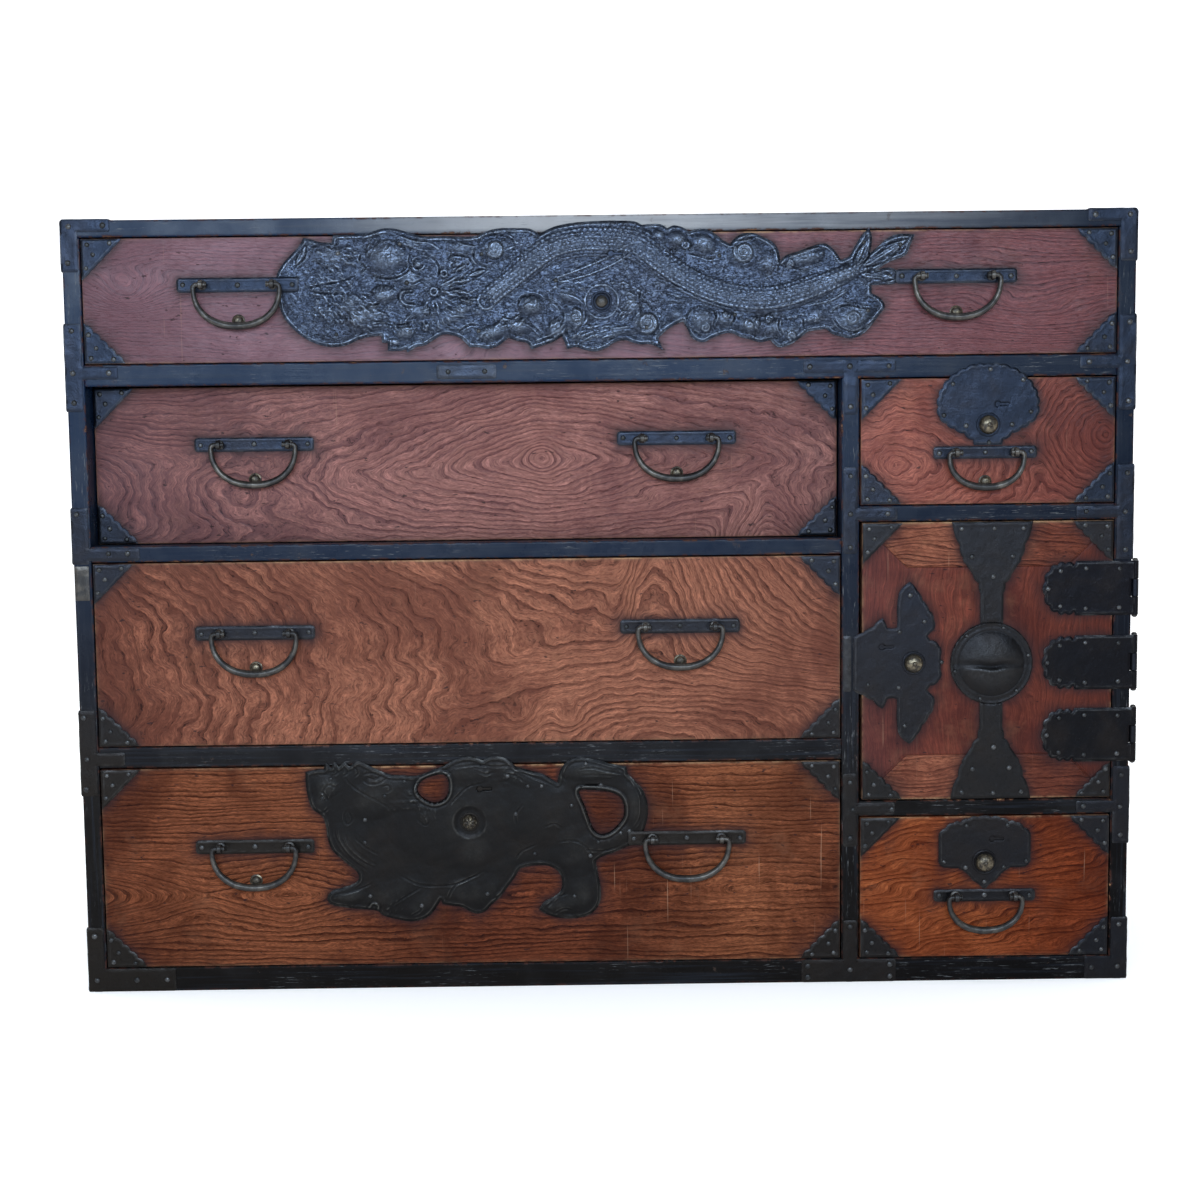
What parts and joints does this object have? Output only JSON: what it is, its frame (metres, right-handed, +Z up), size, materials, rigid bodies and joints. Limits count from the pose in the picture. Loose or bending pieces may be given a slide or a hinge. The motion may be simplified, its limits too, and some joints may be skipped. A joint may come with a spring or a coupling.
{
  "type": "chest of drawers",
  "caption": "Low wooden chest with wide and small drawers, a hinged compartment door, embossed iron lock plates, iron corner mounts and swinging bail handles.",
  "frame": {"origin": "centre of the underside of the carcass, on the floor", "axes": "+X towards the side with the hinged door as seen from the front, -Y out of the front, +Z up"},
  "size_m": [1.21, 0.4657, 0.8815],
  "materials": {
    "lacquer": "worn black lacquer on wood, satin",
    "keyaki": "red-brown wiped lacquer over open grain, satin",
    "pale_wood": "bare softwood, matt",
    "iron": "forged sheet iron, blackened and waxed",
    "bronze": "dark patinated brass"
  },
  "bodies": {
    "carcass": {"side_panel_left": "lacquer", "side_panel_right": "lacquer", "top_board": "lacquer", "bottom_board": "pale_wood", "back_planks": "pale_wood", "partition": "lacquer", "front_rails": "lacquer", "dust_boards": "pale_wood", "inner_shelf": "pale_wood", "drawer_stops": "pale_wood", "frame_irons": "iron", "hinge_side_leaves": "iron", "hinge_pins": "iron"},
    "door": {"door_panel": "keyaki", "door_battens": "keyaki", "door_irons": "iron", "door_hinge_leaves": "iron", "door_lock": "iron"},
    "door_button": {"door_button": "bronze"},
    "door_bolt": {"door_bolt": "iron"},
    "top_drawer": {"top_drawer_front": "keyaki", "top_drawer_box": "pale_wood", "top_drawer_irons": "iron", "top_drawer_lock": "iron"},
    "top_drawer_button": {"top_drawer_button": "bronze"},
    "top_drawer_bolt": {"top_drawer_bolt": "iron"},
    "top_drawer_bail_left": {"top_drawer_bail_left": "iron"},
    "top_drawer_bail_right": {"top_drawer_bail_right": "iron"},
    "upper_drawer": {"upper_drawer_front": "keyaki", "upper_drawer_box": "pale_wood", "upper_drawer_irons": "iron"},
    "upper_drawer_bail_left": {"upper_drawer_bail_left": "iron"},
    "upper_drawer_bail_right": {"upper_drawer_bail_right": "iron"},
    "middle_drawer": {"middle_drawer_front": "keyaki", "middle_drawer_box": "pale_wood", "middle_drawer_irons": "iron"},
    "middle_drawer_bail_left": {"middle_drawer_bail_left": "iron"},
    "middle_drawer_bail_right": {"middle_drawer_bail_right": "iron"},
    "bottom_drawer": {"bottom_drawer_front": "keyaki", "bottom_drawer_box": "pale_wood", "bottom_drawer_irons": "iron", "bottom_drawer_lock": "iron"},
    "bottom_drawer_button": {"bottom_drawer_button": "bronze"},
    "bottom_drawer_bolt": {"bottom_drawer_bolt": "iron"},
    "bottom_drawer_bail_left": {"bottom_drawer_bail_left": "iron"},
    "bottom_drawer_bail_right": {"bottom_drawer_bail_right": "iron"},
    "small_upper_drawer": {"small_upper_drawer_front": "keyaki", "small_upper_drawer_box": "pale_wood", "small_upper_drawer_irons": "iron", "small_upper_drawer_lock": "iron"},
    "small_upper_drawer_button": {"small_upper_drawer_button": "bronze"},
    "small_upper_drawer_bolt": {"small_upper_drawer_bolt": "iron"},
    "small_upper_drawer_bail": {"small_upper_drawer_bail": "iron"},
    "small_lower_drawer": {"small_lower_drawer_front": "keyaki", "small_lower_drawer_box": "pale_wood", "small_lower_drawer_irons": "iron", "small_lower_drawer_lock": "iron"},
    "small_lower_drawer_button": {"small_lower_drawer_button": "bronze"},
    "small_lower_drawer_bolt": {"small_lower_drawer_bolt": "iron"},
    "small_lower_drawer_bail": {"small_lower_drawer_bail": "iron"}
  },
  "joints": [
    {"name": "door_hinge", "type": "hinge", "parent": "carcass", "child": "door", "pos_m": [0.6045, -0.223, 0.372], "axis": [0, 0, 1], "range_deg": [0, 180]},
    {"name": "door_button_push", "type": "slide", "parent": "door", "child": "door_button", "axis": [0, 1, 0], "range_m": [0, 0.005]},
    {"name": "door_bolt_slide", "type": "slide", "parent": "door", "child": "door_bolt", "axis": [-1, 0, 0], "range_m": [0, 0.008]},
    {"name": "top_drawer_slide", "type": "slide", "parent": "carcass", "child": "top_drawer", "axis": [0, -1, 0], "range_m": [0, 0.3]},
    {"name": "top_drawer_button_push", "type": "slide", "parent": "top_drawer", "child": "top_drawer_button", "axis": [0, 1, 0], "range_m": [0, 0.005]},
    {"name": "top_drawer_bolt_slide", "type": "slide", "parent": "top_drawer", "child": "top_drawer_bolt", "axis": [0, 0, 1], "range_m": [0, 0.008]},
    {"name": "top_drawer_bail_left_swing", "type": "hinge", "parent": "top_drawer", "child": "top_drawer_bail_left", "pos_m": [-0.405, -0.2355, 0.807], "axis": [-1, 0, 0], "range_deg": [0, 170]},
    {"name": "top_drawer_bail_right_swing", "type": "hinge", "parent": "top_drawer", "child": "top_drawer_bail_right", "pos_m": [0.398, -0.2355, 0.808], "axis": [-1, 0, 0], "range_deg": [0, 170]},
    {"name": "upper_drawer_slide", "type": "slide", "parent": "carcass", "child": "upper_drawer", "axis": [0, -1, 0], "range_m": [0, 0.3]},
    {"name": "upper_drawer_bail_left_swing", "type": "hinge", "parent": "upper_drawer", "child": "upper_drawer_bail_left", "pos_m": [-0.397, -0.2055, 0.629], "axis": [-1, 0, 0], "range_deg": [0, 170]},
    {"name": "upper_drawer_bail_right_swing", "type": "hinge", "parent": "upper_drawer", "child": "upper_drawer_bail_right", "pos_m": [0.085, -0.2055, 0.631], "axis": [-1, 0, 0], "range_deg": [0, 170]},
    {"name": "middle_drawer_slide", "type": "slide", "parent": "carcass", "child": "middle_drawer", "axis": [0, -1, 0], "range_m": [0, 0.3]},
    {"name": "middle_drawer_bail_left_swing", "type": "hinge", "parent": "middle_drawer", "child": "middle_drawer_bail_left", "pos_m": [-0.397, -0.2355, 0.416], "axis": [-1, 0, 0], "range_deg": [0, 170]},
    {"name": "middle_drawer_bail_right_swing", "type": "hinge", "parent": "middle_drawer", "child": "middle_drawer_bail_right", "pos_m": [0.086, -0.2355, 0.418], "axis": [-1, 0, 0], "range_deg": [0, 170]},
    {"name": "bottom_drawer_slide", "type": "slide", "parent": "carcass", "child": "bottom_drawer", "axis": [0, -1, 0], "range_m": [0, 0.3]},
    {"name": "bottom_drawer_button_push", "type": "slide", "parent": "bottom_drawer", "child": "bottom_drawer_button", "axis": [0, 1, 0], "range_m": [0, 0.005]},
    {"name": "bottom_drawer_bolt_slide", "type": "slide", "parent": "bottom_drawer", "child": "bottom_drawer_bolt", "axis": [0, 0, 1], "range_m": [0, 0.008]},
    {"name": "bottom_drawer_bail_left_swing", "type": "hinge", "parent": "bottom_drawer", "child": "bottom_drawer_bail_left", "pos_m": [-0.404, -0.2355, 0.169], "axis": [-1, 0, 0], "range_deg": [0, 170]},
    {"name": "bottom_drawer_bail_right_swing", "type": "hinge", "parent": "bottom_drawer", "child": "bottom_drawer_bail_right", "pos_m": [0.092, -0.2355, 0.173], "axis": [-1, 0, 0], "range_deg": [0, 170]},
    {"name": "small_upper_drawer_slide", "type": "slide", "parent": "carcass", "child": "small_upper_drawer", "axis": [0, -1, 0], "range_m": [0, 0.3]},
    {"name": "small_upper_drawer_button_push", "type": "slide", "parent": "small_upper_drawer", "child": "small_upper_drawer_button", "axis": [0, 1, 0], "range_m": [0, 0.005]},
    {"name": "small_upper_drawer_bolt_slide", "type": "slide", "parent": "small_upper_drawer", "child": "small_upper_drawer_bolt", "axis": [0, 0, 1], "range_m": [0, 0.008]},
    {"name": "small_upper_drawer_bail_swing", "type": "hinge", "parent": "small_upper_drawer", "child": "small_upper_drawer_bail", "pos_m": [0.432, -0.2355, 0.611], "axis": [-1, 0, 0], "range_deg": [0, 170]},
    {"name": "small_lower_drawer_slide", "type": "slide", "parent": "carcass", "child": "small_lower_drawer", "axis": [0, -1, 0], "range_m": [0, 0.3]},
    {"name": "small_lower_drawer_button_push", "type": "slide", "parent": "small_lower_drawer", "child": "small_lower_drawer_button", "axis": [0, 1, 0], "range_m": [0, 0.005]},
    {"name": "small_lower_drawer_bolt_slide", "type": "slide", "parent": "small_lower_drawer", "child": "small_lower_drawer_bolt", "axis": [0, 0, 1], "range_m": [0, 0.008]},
    {"name": "small_lower_drawer_bail_swing", "type": "hinge", "parent": "small_lower_drawer", "child": "small_lower_drawer_bail", "pos_m": [0.435, -0.2355, 0.101], "axis": [-1, 0, 0], "range_deg": [0, 170]}
  ],
  "couplings": [
    {"joint": "door_bolt_slide", "follows": "door_button_push", "ratio": 1.6},
    {"joint": "top_drawer_bolt_slide", "follows": "top_drawer_button_push", "ratio": 1.6},
    {"joint": "bottom_drawer_bolt_slide", "follows": "bottom_drawer_button_push", "ratio": 1.6},
    {"joint": "small_upper_drawer_bolt_slide", "follows": "small_upper_drawer_button_push", "ratio": 1.6},
    {"joint": "small_lower_drawer_bolt_slide", "follows": "small_lower_drawer_button_push", "ratio": 1.6}
  ]
}
